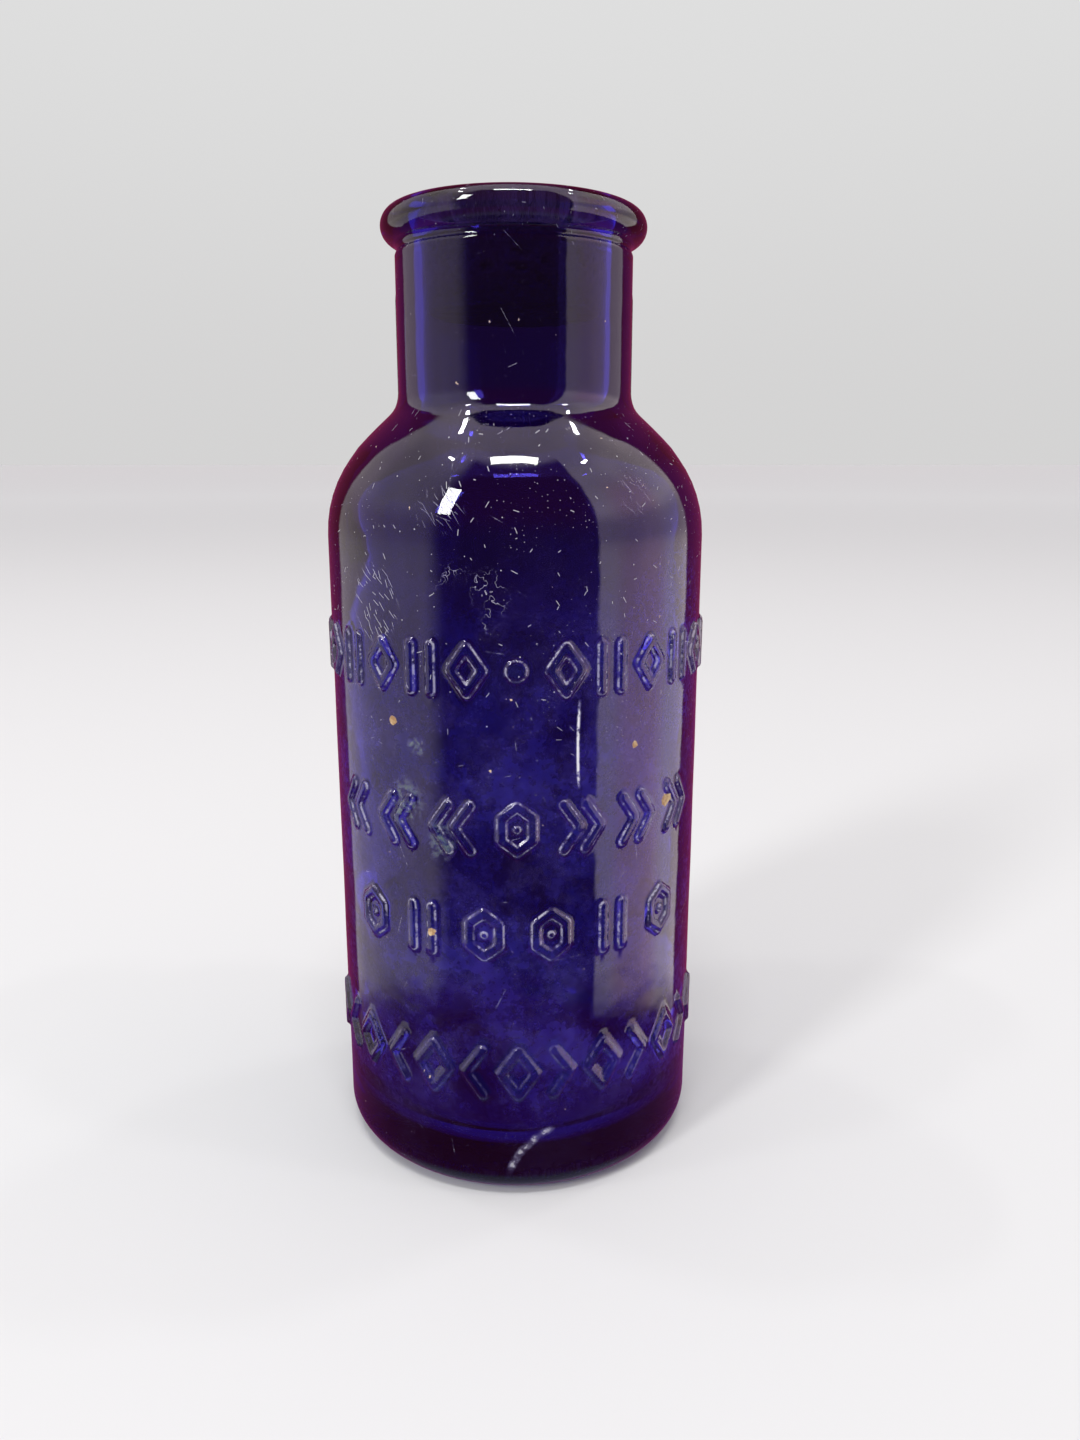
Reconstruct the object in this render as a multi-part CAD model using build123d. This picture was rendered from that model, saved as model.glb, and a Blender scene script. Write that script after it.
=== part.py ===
from build123d import *
import os
from math import atan2, degrees, radians, tan

# Wide-mouthed moulded glass salts bottle with a bead lip, closed by a tapered cork.
# Millimetres, +Z up, origin on the table at the bottle's axis. The ornamented face looks along -Y.

# Driving dimensions of the glass
HEIGHT = 127.0
BODY_RADIUS = 25.4
NECK_RADIUS = 15.4
BORE_RADIUS = 12.0
BODY_WALL = 3.0
FLOOR_HEIGHT = 5.0

# Base: a flat resting ring round a shallow domed push-up
HEEL_ROUND = 4.0
PUSH_UP_RADIUS = 17.5
PUSH_UP_HEIGHT = 1.8
INNER_HEEL_ROUND = 6.5

# Shoulder: a straight slope between two round corners, leaning this far from upright
SHOULDER_LEAN = 46.0
SHOULDER_CORNER_HEIGHT = 93.1
SHOULDER_ROUND = 16.3
NECK_ROOT_ROUND = 4.5
BORE_ROOT_ROUND = 7.5

# Lip: a round bead over a fine groove, with a rounded way in to the bore
BEAD_ROUND = 2.2
BEAD_CENTRE_RADIUS = 14.95
BEAD_CENTRE_HEIGHT = HEIGHT - BEAD_ROUND
GROOVE_ROUND = 0.75
GROOVE_DEPTH = 0.2
GROOVE_HEIGHT = 122.0
MOUTH_ROUND = 2.6

# Raised ornament: every figure is drawn with one round-ended stroke
RELIEF = 0.55
STROKE = 1.4
ROOT_DEPTH = 0.8
LOZENGE_WIDTH = 0.7
HEXAGON_WIDTH = 0.65
CHEVRON_WIDTH = 0.35
STUD_RADIUS = 0.55

# Cork, at the size it takes when it is pressed home
CORK_TOP_HEIGHT = HEIGHT - 0.6
CORK_LENGTH = 12.5
CORK_WIDE_RADIUS = 12.04
CORK_NARROW_RADIUS = 11.3
CORK_EDGE = 0.6


def corner_at(face, radius, height):
    """The vertex of a section nearest to a point."""
    return min(face.vertices(), key=lambda v: (v.X - radius) ** 2 + (v.Y - height) ** 2)


def slope_height(start, end_radius):
    """Height at which the shoulder's slope, followed up from a point, reaches a radius."""
    start_radius, start_height = start
    return start_height + (start_radius - end_radius) / tan(radians(SHOULDER_LEAN))


def glass_section():
    """Half section of the glass, with radius along X and height along Y."""
    inner_radius = BODY_RADIUS - BODY_WALL
    inner_corner_height = SHOULDER_CORNER_HEIGHT - BODY_WALL * tan(radians(SHOULDER_LEAN / 2))
    heel = (BODY_RADIUS, 0)
    shoulder = (BODY_RADIUS, SHOULDER_CORNER_HEIGHT)
    neck_root = (NECK_RADIUS, slope_height(shoulder, NECK_RADIUS))
    mouth = (BORE_RADIUS, HEIGHT)
    inner_shoulder = (inner_radius, inner_corner_height)
    bore_root = (BORE_RADIUS, slope_height(inner_shoulder, BORE_RADIUS))
    inner_heel = (inner_radius, FLOOR_HEIGHT)
    outline = Polyline(
        (0, 0),
        heel,
        shoulder,
        neck_root,
        (NECK_RADIUS, BEAD_CENTRE_HEIGHT),
        (BEAD_CENTRE_RADIUS, BEAD_CENTRE_HEIGHT),
        (BEAD_CENTRE_RADIUS, HEIGHT),
        mouth,
        bore_root,
        inner_shoulder,
        inner_heel,
        (0, FLOOR_HEIGHT),
        close=True,
    )
    section = make_face(outline)
    rounds = (
        (heel, HEEL_ROUND),
        (shoulder, SHOULDER_ROUND),
        (neck_root, NECK_ROOT_ROUND),
        (mouth, MOUTH_ROUND),
        (bore_root, BORE_ROOT_ROUND),
        (inner_shoulder, SHOULDER_ROUND - BODY_WALL),
        (inner_heel, INNER_HEEL_ROUND),
    )
    for corner, radius in rounds:
        section = fillet(corner_at(section, *corner), radius)
    bead = Pos(BEAD_CENTRE_RADIUS, BEAD_CENTRE_HEIGHT) * Circle(BEAD_ROUND)
    groove_centre_radius = NECK_RADIUS - GROOVE_DEPTH + GROOVE_ROUND
    groove = Pos(groove_centre_radius, GROOVE_HEIGHT) * Circle(GROOVE_ROUND)
    return section + bead - groove


def stroke(start, end):
    """A straight round-ended stroke from one point to another."""
    run = Vector(*end) - Vector(*start)
    middle = Vector(*start) + run / 2
    turn = degrees(atan2(run.Y, run.X))
    return Pos(middle.X, middle.Y) * Rot(0, 0, turn) * SlotCenterToCenter(run.length, STROKE)


def drawn(*points, closed=False):
    """Strokes through a line of points, and back to the first one if it is closed."""
    starts = points if closed else points[:-1]
    ends = points[1:] + points[:1]
    return Sketch() + [stroke(start, end) for start, end in zip(starts, ends)]


# Each figure takes its tallness, the height of its strokes' centre lines above its middle.


def stud(tall):
    """A single round boss as wide as two strokes."""
    return Circle(min(STROKE, tall))


def twin_bars(tall):
    """Two upright bars side by side."""
    return drawn((-STROKE, -tall), (-STROKE, tall)) + drawn((STROKE, -tall), (STROKE, tall))


def lozenge(tall):
    """The outline of an upright lozenge."""
    wide = tall * LOZENGE_WIDTH
    return drawn((wide, 0), (0, tall), (-wide, 0), (0, -tall), closed=True)


def studded_hexagon(tall):
    """The outline of an upright hexagon round a small boss."""
    wide = tall * HEXAGON_WIDTH
    side = tall / 2
    right = ((wide, -side), (wide, side))
    left = ((-wide, side), (-wide, -side))
    outline = drawn(*right, (0, tall), *left, (0, -tall), closed=True)
    return outline + Circle(STUD_RADIUS)


def chevron(tall):
    """A chevron pointing along the row."""
    tip = tall * CHEVRON_WIDTH
    return drawn((-tip, -tall), (tip, 0), (-tip, tall))


def double_chevron(tall):
    """Two chevrons one behind the other."""
    return Pos(-STROKE, 0) * chevron(tall) + Pos(STROKE, 0) * chevron(tall)


# Each row: middle height, figure height, angle of the first figure from the front, angle
# between figures, and the figures rightwards. The left half mirrors the right half.
ORNAMENT_ROWS = (
    (71.8, 6.9, 0.0, 13.5, (stud, lozenge, twin_bars, lozenge, twin_bars, lozenge, twin_bars)),
    (52.1, 7.2, 0.0, 18.5, (studded_hexagon, double_chevron, double_chevron, double_chevron)),
    (38.1, 7.2, 9.5, 19.0, (studded_hexagon, twin_bars, studded_hexagon)),
    (18.7, 7.8, 0.0, 13.0, (lozenge, chevron) * 3 + (lozenge,)),
)


def raised_figure(sketch, angle, height):
    """Stands a flat figure on the body's wall, turned this many degrees from the front."""
    wall = Plane(origin=(0, ROOT_DEPTH - BODY_RADIUS, height), x_dir=(1, 0, 0), z_dir=(0, -1, 0))
    return Rot(0, 0, angle) * extrude(wall * sketch, amount=ROOT_DEPTH + 2 * RELIEF)


def ornament():
    """Every raised figure, trimmed to one height above the body's wall."""
    figures = []
    for height, size, first, pitch, kinds in ORNAMENT_ROWS:
        for place, kind in enumerate(kinds):
            sketch = kind((size - STROKE) / 2)
            angle = first + place * pitch
            figures.append(raised_figure(sketch, angle, height))
            if angle:
                figures.append(raised_figure(mirror(sketch, about=Plane.YZ), -angle, height))
    reach = Pos(0, 0, HEIGHT / 2) * Cylinder(BODY_RADIUS + RELIEF, HEIGHT)
    return [figure & reach for figure in figures]


def glass_bottle():
    """The moulded glass: one piece from base to lip."""
    wall = revolve(Plane.XZ * glass_section(), axis=Axis.Z)
    dome_radius = (PUSH_UP_RADIUS**2 + PUSH_UP_HEIGHT**2) / (2 * PUSH_UP_HEIGHT)
    push_up = Pos(0, 0, PUSH_UP_HEIGHT - dome_radius) * Sphere(dome_radius)
    return (wall - push_up).fuse(*ornament())


def cork_stopper():
    """A tapered cork with broken edges, pressed in to just below the top of the lip."""
    plug = Cone(CORK_NARROW_RADIUS, CORK_WIDE_RADIUS, CORK_LENGTH)
    plug = chamfer(plug.edges().filter_by(GeomType.CIRCLE), CORK_EDGE)
    return Pos(0, 0, CORK_TOP_HEIGHT - CORK_LENGTH / 2) * plug


PARTS = {
    "glass_bottle": glass_bottle,
    "cork_stopper": cork_stopper,
}

os.makedirs("parts", exist_ok=True)
for node, build in PARTS.items():
    export_step(build(), f"parts/{node}.step")
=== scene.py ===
from math import atan2, ceil, cos, pi, radians, sin, tan

import bpy
import numpy as np
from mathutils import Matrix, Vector


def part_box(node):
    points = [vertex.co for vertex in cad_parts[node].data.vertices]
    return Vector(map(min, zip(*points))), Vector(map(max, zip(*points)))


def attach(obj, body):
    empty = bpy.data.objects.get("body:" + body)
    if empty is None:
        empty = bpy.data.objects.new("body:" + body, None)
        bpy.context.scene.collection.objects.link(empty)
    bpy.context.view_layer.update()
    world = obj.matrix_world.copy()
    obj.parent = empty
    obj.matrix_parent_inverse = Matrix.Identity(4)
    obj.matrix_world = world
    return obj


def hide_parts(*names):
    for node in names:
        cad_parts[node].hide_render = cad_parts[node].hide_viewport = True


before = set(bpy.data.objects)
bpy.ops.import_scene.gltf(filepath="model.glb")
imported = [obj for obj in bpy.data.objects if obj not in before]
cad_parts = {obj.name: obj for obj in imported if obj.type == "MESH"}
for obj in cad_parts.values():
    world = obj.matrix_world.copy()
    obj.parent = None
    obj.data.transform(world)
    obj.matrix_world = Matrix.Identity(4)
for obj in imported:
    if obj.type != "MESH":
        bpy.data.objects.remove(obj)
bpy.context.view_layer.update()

# The frame is in metres. Shapes are worked out in millimetres and scaled once, in build_mesh().
MM = 0.001
GLASS_LOW, GLASS_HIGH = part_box("glass_bottle")
CORK_LOW, CORK_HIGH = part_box("cork_stopper")

# Driving sizes of the glass, from the CAD box: its plain back gives the body's radius, and
# the front stands out from that by the ornament's relief.
HEIGHT = GLASS_HIGH.z / MM
BODY_RADIUS = GLASS_HIGH.y / MM
RELIEF = -GLASS_LOW.y / MM - BODY_RADIUS

# Glass sizes that the box doesn't give, in millimetres
NECK_RADIUS = 15.4
BORE_RADIUS = 12.0
BODY_WALL = 3.0
FLOOR_HEIGHT = 5.0
HEEL_ROUND = 4.0
RING_ROUND = 0.8
RING_OUT = 0.4
PUSH_UP_RADIUS = 17.5
PUSH_UP_HEIGHT = 1.8
PUSH_UP_EDGE = 1.0
PUSH_UP_EDGE_HEIGHT = 0.2
INNER_HEEL_ROUND = 6.5
SHOULDER_LEAN = radians(46.0)
SHOULDER_CORNER_HEIGHT = 93.1
SHOULDER_ROUND = 16.3
NECK_ROOT_ROUND = 4.5
BORE_ROOT_ROUND = 7.5
BEAD_ROUND = 2.2
BEAD_CENTRE_RADIUS = 14.95
BEAD_CENTRE_HEIGHT = HEIGHT - BEAD_ROUND
BEAD_START = radians(-83.0)
BAND_TOP = 121.35
BAND_ROUND = 0.35
GROOVE_RADIUS = 15.2
GROOVE_RISE = 0.45
GROOVE_ROUND = 0.25
MOUTH_ROUND = 2.6

# Ornament strokes
STROKE = 1.4
LOZENGE_WIDTH = 0.7
HEXAGON_WIDTH = 0.65
CHEVRON_WIDTH = 0.35
STUD_RADIUS = 0.55
STROKE_SOFT_OUT = 0.22
STROKE_SOFT_IN = 0.42
STROKE_STRENGTH = (0.8, 1.0)
EDGE_REACH = 1.5

# The glass's unevenness. Pairs are where something starts and ends, and directions are
# degrees round from the front.
OUTER_WAVE = 0.05
OUTER_WAVE_SHORTEST = 15.0
OUTER_WAVE_TURNS = 9
INNER_WAVE = 0.28
INNER_WAVE_SHORTEST = 13.0
INNER_WAVE_TURNS = 5
WAVE_COUNT = 14
WALL_DRIFT = 0.35
DRIFT_TOWARDS = radians(70.0)
WALL_BAND = (NECK_RADIUS - 0.5, BODY_RADIUS - 1.0)
NECK_ROOT = (94.0, 102.0)
FLOOR_EDGE = (2.0, 12.0)
FLOOR_CROWN = 0.8
FLOOR_CROWN_RADIUS = 18.0
FLOOR_CROWN_TOP = FLOOR_HEIGHT + 4.0
SEAM_HEIGHT = 0.16
SEAM_WIDTH = 0.26
SEAM_LEAST_RADIUS = NECK_RADIUS - 0.1
SEAM_FOOT = (1.5, 5.0)
SEAM_TOP = (116.0, 118.0)
SLOPE_CROWN = 0.24
SLOPE_FOOT = 95.8
SLOPE_TOP = 102.8
SLOPE_EASE = 1.0
LIP_DIP = 0.18
LIP_DIP_TOWARDS = radians(130.0)
LIP_DIP_FOOT = 120.0
SEED = 7

# The cork, in millimetres. Its pores are long in one direction of the bark, which here runs
# along X. Pits and roughness are made of lumps, each kind with its size and its share.
CORK_SPARE = 0.02
CORK_TAPER = 0.74
CORK_EDGE = 0.6
CORK_TOP_EDGE = 0.78
CORK_END = 0.93
BARK_STRETCH = (0.35, 1.0, 1.0)
PIT_SIZES = ((0.9, 0.6), (0.45, 0.4))
PIT_RANGE = (0.62, 0.78)
PIT_DEPTH = 0.45
ROUGH_SIZES = ((0.7, 0.5), (0.36, 0.5))
ROUGH_DEPTH = 0.10

# Mesh spacing
ORNAMENT_STEP = 0.31
ORNAMENT_REACH = radians(86.0)
ORNAMENT_MARGIN = 0.5
BACK_STEP = radians(2.7)
SEAM_COLUMNS = 4
SEAM_STEP = SEAM_WIDTH * 0.6
LINE_STEP = 1.8
INNER_STEP = 2.6
CORK_STEP = 0.42
ARC_STEP = radians(8.0)
ARC_FINENESS = 3
FINEST_STEP = 0.12
SAMPLE_STEP = 0.02
SAME_PLACE = 1e-6
EASE = 1.0
POLE_RADIUS = 0.5


# ------ profile of the glass


def arc_points(centre, radius, start, end, spacing):
    """Points round an arc, as (radius, height, mesh spacing)."""
    steps = max(2, ceil(abs(end - start) / ARC_STEP * ARC_FINENESS))
    angles = [start + (end - start) * i / steps for i in range(steps + 1)]
    return [(centre[0] + radius * cos(a), centre[1] + radius * sin(a), spacing) for a in angles]


def add_line(points, end, line_step):
    """Adds the ends of a straight run's coarse middle part, where the run is long enough for one."""
    start = Vector(points[-1][:2])
    way = end - start
    if way.length > 2 * EASE:
        for place in (start + way.normalized() * EASE, end - way.normalized() * EASE):
            points.append((place.x, place.y, line_step))


def rounded_path(corners, line_step):
    """A line through (radius, height, rounding) corners with each corner rounded to an arc."""
    points = [(corners[0][0], corners[0][1], line_step)]
    for before, corner, after in zip(corners, corners[1:], corners[2:]):
        here = Vector(corner[:2])
        back = (Vector(before[:2]) - here).normalized()
        ahead = (Vector(after[:2]) - here).normalized()
        half = back.angle(ahead) / 2
        rounding = corner[2]
        centre = here + (back + ahead).normalized() * (rounding / sin(half))
        start = here + back * (rounding / tan(half)) - centre
        end = here + ahead * (rounding / tan(half)) - centre
        first = atan2(start.y, start.x)
        sweep = (atan2(end.y, end.x) - first + pi) % (2 * pi) - pi
        spacing = max(FINEST_STEP, min(line_step, rounding * ARC_STEP))
        add_line(points, centre + start, line_step)
        points += arc_points(centre, rounding, first, first + sweep, spacing)
    add_line(points, Vector(corners[-1][:2]), line_step)
    points.append((corners[-1][0], corners[-1][1], line_step))
    return points


def slope_height(start, end_radius):
    """Height at which the shoulder's slope, followed up from a corner, reaches a radius."""
    return start[1] + (start[0] - end_radius) / tan(SHOULDER_LEAN)


def outer_path():
    """The outside of the glass, from the middle of the base up to the crest of the lip."""
    dome_radius = (PUSH_UP_RADIUS**2 + PUSH_UP_HEIGHT**2) / (2 * PUSH_UP_HEIGHT)
    dome_centre = (0.0, PUSH_UP_HEIGHT - dome_radius)
    dome_edge = atan2(-dome_centre[1], PUSH_UP_RADIUS)
    dome = arc_points(dome_centre, dome_radius, pi / 2, dome_edge, LINE_STEP)
    dome = [point for point in dome if point[0] < PUSH_UP_RADIUS - PUSH_UP_EDGE]
    shoulder = (BODY_RADIUS, SHOULDER_CORNER_HEIGHT)
    walls = rounded_path(
        [
            (PUSH_UP_RADIUS - PUSH_UP_EDGE, PUSH_UP_EDGE_HEIGHT, 0),
            (PUSH_UP_RADIUS + RING_OUT, 0.0, RING_ROUND),
            (BODY_RADIUS, 0.0, HEEL_ROUND),
            (*shoulder, SHOULDER_ROUND),
            (NECK_RADIUS, slope_height(shoulder, NECK_RADIUS), NECK_ROOT_ROUND),
            (NECK_RADIUS, BAND_TOP, BAND_ROUND),
            (GROOVE_RADIUS, BAND_TOP + GROOVE_RISE, GROOVE_ROUND),
            (GROOVE_RADIUS, BEAD_CENTRE_HEIGHT - BEAD_ROUND, 0),
        ],
        LINE_STEP,
    )
    bead_centre = (BEAD_CENTRE_RADIUS, BEAD_CENTRE_HEIGHT)
    bead = arc_points(bead_centre, BEAD_ROUND, BEAD_START, pi / 2, BEAD_ROUND * ARC_STEP)
    return dome + walls + bead


def inner_path():
    """The inside of the glass, from the crest of the lip down to the middle of the floor."""
    mouth_centre = (BORE_RADIUS + MOUTH_ROUND, HEIGHT - MOUTH_ROUND)
    mouth = arc_points(mouth_centre, MOUTH_ROUND, pi / 2, pi, MOUTH_ROUND * ARC_STEP)
    inner_radius = BODY_RADIUS - BODY_WALL
    shoulder = (inner_radius, SHOULDER_CORNER_HEIGHT - BODY_WALL * tan(SHOULDER_LEAN / 2))
    walls = rounded_path(
        [
            (BORE_RADIUS, HEIGHT - MOUTH_ROUND, 0),
            (BORE_RADIUS, slope_height(shoulder, BORE_RADIUS), BORE_ROOT_ROUND),
            (*shoulder, SHOULDER_ROUND - BODY_WALL),
            (inner_radius, FLOOR_HEIGHT, INNER_HEEL_ROUND),
            (0.0, FLOOR_HEIGHT, 0),
        ],
        INNER_STEP,
    )
    return mouth + walls[1:]


# ------ raised ornament


def line_of(*points, closed=False):
    """The strokes through a line of points, and back to the first one if it is closed."""
    starts = points if closed else points[:-1]
    ends = points[1:] + points[:1]
    return list(zip(starts, ends))


def stud(tall):
    """A single round boss."""
    return [], [((0.0, 0.0), STROKE)]


def twin_bars(tall):
    """Two upright bars."""
    return line_of((-STROKE, -tall), (-STROKE, tall)) + line_of((STROKE, -tall), (STROKE, tall)), []


def lozenge(tall):
    """The outline of an upright lozenge."""
    wide = tall * LOZENGE_WIDTH
    return line_of((wide, 0.0), (0.0, tall), (-wide, 0.0), (0.0, -tall), closed=True), []


def studded_hexagon(tall):
    """The outline of an upright hexagon round a small boss."""
    wide = tall * HEXAGON_WIDTH
    side = tall / 2
    right = ((wide, -side), (wide, side))
    left = ((-wide, side), (-wide, -side))
    outline = line_of(*right, (0.0, tall), *left, (0.0, -tall), closed=True)
    return outline, [((0.0, 0.0), STUD_RADIUS)]


def chevron(tall, shift=0.0):
    """A chevron pointing along the row."""
    tip = tall * CHEVRON_WIDTH
    return line_of((shift - tip, -tall), (shift + tip, 0.0), (shift - tip, tall)), []


def double_chevron(tall):
    """Two chevrons one behind the other, pointing along the row."""
    return chevron(tall, -STROKE)[0] + chevron(tall, STROKE)[0], []


# Each row: middle height, figure height, first figure's angle from the front, angle between
# figures, and the figures rightwards. The left half mirrors it.
ORNAMENT_ROWS = (
    (71.8, 6.9, 0.0, 13.5, (stud, lozenge, twin_bars, lozenge, twin_bars, lozenge, twin_bars)),
    (52.1, 7.2, 0.0, 18.5, (studded_hexagon, double_chevron, double_chevron, double_chevron)),
    (38.1, 7.2, 9.5, 19.0, (studded_hexagon, twin_bars, studded_hexagon)),
    (18.7, 7.8, 0.0, 13.0, (lozenge, chevron) * 3 + (lozenge,)),
)


def stroke_distance(across, up, start, end):
    """Distance from each point to a stroke's centre line."""
    run = np.subtract(end, start)
    along = ((across - start[0]) * run[0] + (up - start[1]) * run[1]) / (run @ run)
    along = np.clip(along, 0.0, 1.0)
    return np.hypot(across - start[0] - along * run[0], up - start[1] - along * run[1])


def smooth_step(value, low, high):
    """0 at low, 1 at high, with a smooth S between them."""
    t = np.clip((value - low) / (high - low), 0.0, 1.0)
    return t * t * (3 - 2 * t)


def figure_gap(figure, across, up):
    """Distance from each point to the edge of a figure's strokes and studs, negative within."""
    strokes, studs = figure
    gaps = [stroke_distance(across, up, start, end) - STROKE / 2 for start, end in strokes]
    gaps += [np.hypot(across - centre[0], up - centre[1]) - radius for centre, radius in studs]
    return np.min(gaps, axis=0)


def ornament_shape(angle, height, rng):
    """How far the ornament stands out at each (angle, height), and the distance to its edge."""
    raised = np.zeros_like(angle)
    edge = np.full_like(angle, EDGE_REACH)
    for middle, size, first, pitch, figures in ORNAMENT_ROWS:
        tall = (size - STROKE) / 2
        for place, figure in enumerate(figures):
            turn = radians(first + place * pitch)
            for side in (-1, 1) if turn else (1,):
                strength = rng.uniform(*STROKE_STRENGTH)
                away = angle - side * turn
                across = side * BODY_RADIUS * np.sin(away)
                up = height - middle
                near = (abs(across) < size) & (abs(up) < size) & (np.cos(away) > 0)
                gap = figure_gap(figure(tall), across[near], up[near])
                shape = 1 - smooth_step(gap, -STROKE_SOFT_IN, STROKE_SOFT_OUT)
                raised[near] = np.maximum(raised[near], RELIEF * strength * shape)
                edge[near] = np.minimum(edge[near], np.clip(gap, -EDGE_REACH, EDGE_REACH))
    return raised, edge


# ------ meshes


def spread(points, spacing_of):
    """Resamples a line of (radius, height, spacing) points to the spacing asked for there."""
    line = np.array(points)
    gaps = np.hypot(*np.diff(line[:, :2], axis=0).T)
    line = line[np.concatenate([[True], gaps > SAME_PLACE])]
    gaps = np.hypot(*np.diff(line[:, :2], axis=0).T)
    length = np.concatenate([[0.0], np.cumsum(gaps)])
    fine = np.linspace(0.0, length[-1], int(length[-1] / SAMPLE_STEP))
    place = [np.interp(fine, length, values) for values in line.T]
    density = 1.0 / spacing_of(*place)
    count = np.concatenate([[0.0], np.cumsum((density[1:] + density[:-1]) / 2 * np.diff(fine))])
    stops = np.interp(np.linspace(0.0, count[-1], ceil(count[-1]) + 1), count, fine)
    return np.stack([np.interp(stops, fine, values) for values in place[:2]], axis=1)


def given_spacing(radius, height, spacing):
    """Mesh spacing as each point of the line gives it."""
    return spacing


def outer_spacing(radius, height, spacing):
    """Mesh spacing up the outside: fine over the ornament rows, and as given elsewhere."""
    for middle, size, *_ in ORNAMENT_ROWS:
        in_row = (abs(height - middle) < size / 2 + ORNAMENT_MARGIN) & (radius > WALL_BAND[1])
        spacing = np.where(in_row, ORNAMENT_STEP, spacing)
    return spacing


def column_angles():
    """Angles of the mesh columns from the front, fine over the ornament and seams, coarse behind."""
    fine = ceil(2 * ORNAMENT_REACH / (ORNAMENT_STEP / BODY_RADIUS))
    front = np.linspace(-ORNAMENT_REACH, ORNAMENT_REACH, fine, endpoint=False)
    seam = np.arange(-SEAM_COLUMNS, SEAM_COLUMNS + 1) * SEAM_STEP / BODY_RADIUS
    behind_seam = pi / 2 + seam[-1] + BACK_STEP
    coarse = ceil((2 * pi - 2 * behind_seam) / BACK_STEP) + 1
    back = np.linspace(behind_seam, 2 * pi - behind_seam, coarse)
    return np.concatenate([front, [ORNAMENT_REACH], pi / 2 + seam, back, 3 * pi / 2 + seam])


def sweep(profile, angles):
    """Angle, radius and height, in rings, of the points of a profile taken round to each angle."""
    angle, radius = np.meshgrid(angles, profile[:, 0])
    height = np.repeat(profile[:, 1:2], len(angles), axis=1)
    return angle, radius, height


def ring_points(angle, radius, height):
    """Rings of (x, y, z) points. The front, at angle 0, faces -Y."""
    return np.stack([radius * np.sin(angle), -radius * np.cos(angle), height], axis=2)


def waves(angle, height, rng, shortest, turns):
    """A smooth random unevenness, about -1 to 1, with no wave up the glass under the shortest."""
    total = np.zeros_like(angle)
    for _ in range(WAVE_COUNT):
        around = rng.integers(0, turns + 1)
        upward = rng.uniform(-1, 1) * 2 * pi / shortest
        phase = rng.uniform(0, 2 * pi)
        total += np.sin(around * angle + upward * height + phase)
    return total / np.sqrt(WAVE_COUNT)


def lumps(points, size, rng):
    """Smooth random values, 0 to 1, that change over about the given size in mm."""
    low = points.min(0) - size
    cells = np.ceil((points.max(0) - low) / size).astype(int) + 2
    lattice = rng.uniform(0.0, 1.0, tuple(cells))
    place = (points - low) / size
    whole = np.floor(place).astype(int)
    part = smooth_step(place - whole, 0.0, 1.0)
    total = np.zeros(len(points))
    for corner in np.ndindex(2, 2, 2):
        weight = np.prod(np.where(corner, part, 1 - part), axis=1)
        total += weight * lattice[tuple((whole + corner).T)]
    return total


def new_object(name, data):
    """A new object in the scene."""
    thing = bpy.data.objects.new(name, data)
    bpy.context.scene.collection.objects.link(thing)
    return thing


def build_mesh(name, rings):
    """A closed mesh from rings of (x, y, z) points in mm, capped by a point at each end."""
    ring_count, column_count = rings.shape[:2]
    start, end = rings[0].mean(0), rings[-1].mean(0)
    points = np.concatenate([rings.reshape(-1, 3), [start, end]]) * MM
    columns = np.arange(column_count)
    after = np.roll(columns, -1)
    quads = []
    for ring in range(ring_count - 1):
        low, high = ring * column_count, (ring + 1) * column_count
        quads.append(np.stack([low + columns, low + after, high + after, high + columns], axis=1))
    top = (ring_count - 1) * column_count
    first, last = len(points) - 2, len(points) - 1
    faces = np.concatenate(quads).tolist()
    faces += [(first, int(b), int(a)) for a, b in zip(columns, after)]
    faces += [(last, int(top + a), int(top + b)) for a, b in zip(columns, after)]
    mesh = bpy.data.meshes.new(name)
    mesh.from_pydata(points.tolist(), [], faces)
    mesh.validate()
    mesh.shade_smooth()
    return new_object(name, mesh)


def mark_points(piece, name, values, start, end):
    """Stores numbers for the rings' points and the two caps, for the material to read."""
    attribute = piece.data.attributes.new(name, "FLOAT", "POINT")
    values = np.concatenate([values.reshape(-1), [start, end]])
    attribute.data.foreach_set("value", values.astype(np.float32))


# ------ the bottle


def shape_outside(angle, radius, height, rng):
    """The outside's radius with its unevenness, seams, slope and ornament, and the ornament's edge."""
    on_wall = smooth_step(radius, *WALL_BAND)
    wave = waves(angle, height, rng, OUTER_WAVE_SHORTEST, OUTER_WAVE_TURNS)
    shaped = radius - on_wall * OUTER_WAVE * (1 + np.clip(wave, -1, 1)) / 2

    sideways = BODY_RADIUS * np.abs(np.cos(angle))
    seam = np.exp(-((sideways / SEAM_WIDTH) ** 2)) * (shaped > SEAM_LEAST_RADIUS)
    seam = seam * smooth_step(height, *SEAM_FOOT) * (1 - smooth_step(height, *SEAM_TOP))
    shaped = shaped + SEAM_HEIGHT * seam

    raised, edge = ornament_shape(angle, height, rng)
    shaped = shaped + raised

    crown = smooth_step(height, SLOPE_FOOT, SLOPE_FOOT + SLOPE_EASE)
    crown = crown * (1 - smooth_step(height, SLOPE_TOP - SLOPE_EASE, SLOPE_TOP))
    part_way = np.clip((height - SLOPE_FOOT) / (SLOPE_TOP - SLOPE_FOOT), 0, 1)
    return shaped + SLOPE_CROWN * crown * np.sin(pi * part_way), edge


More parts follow.
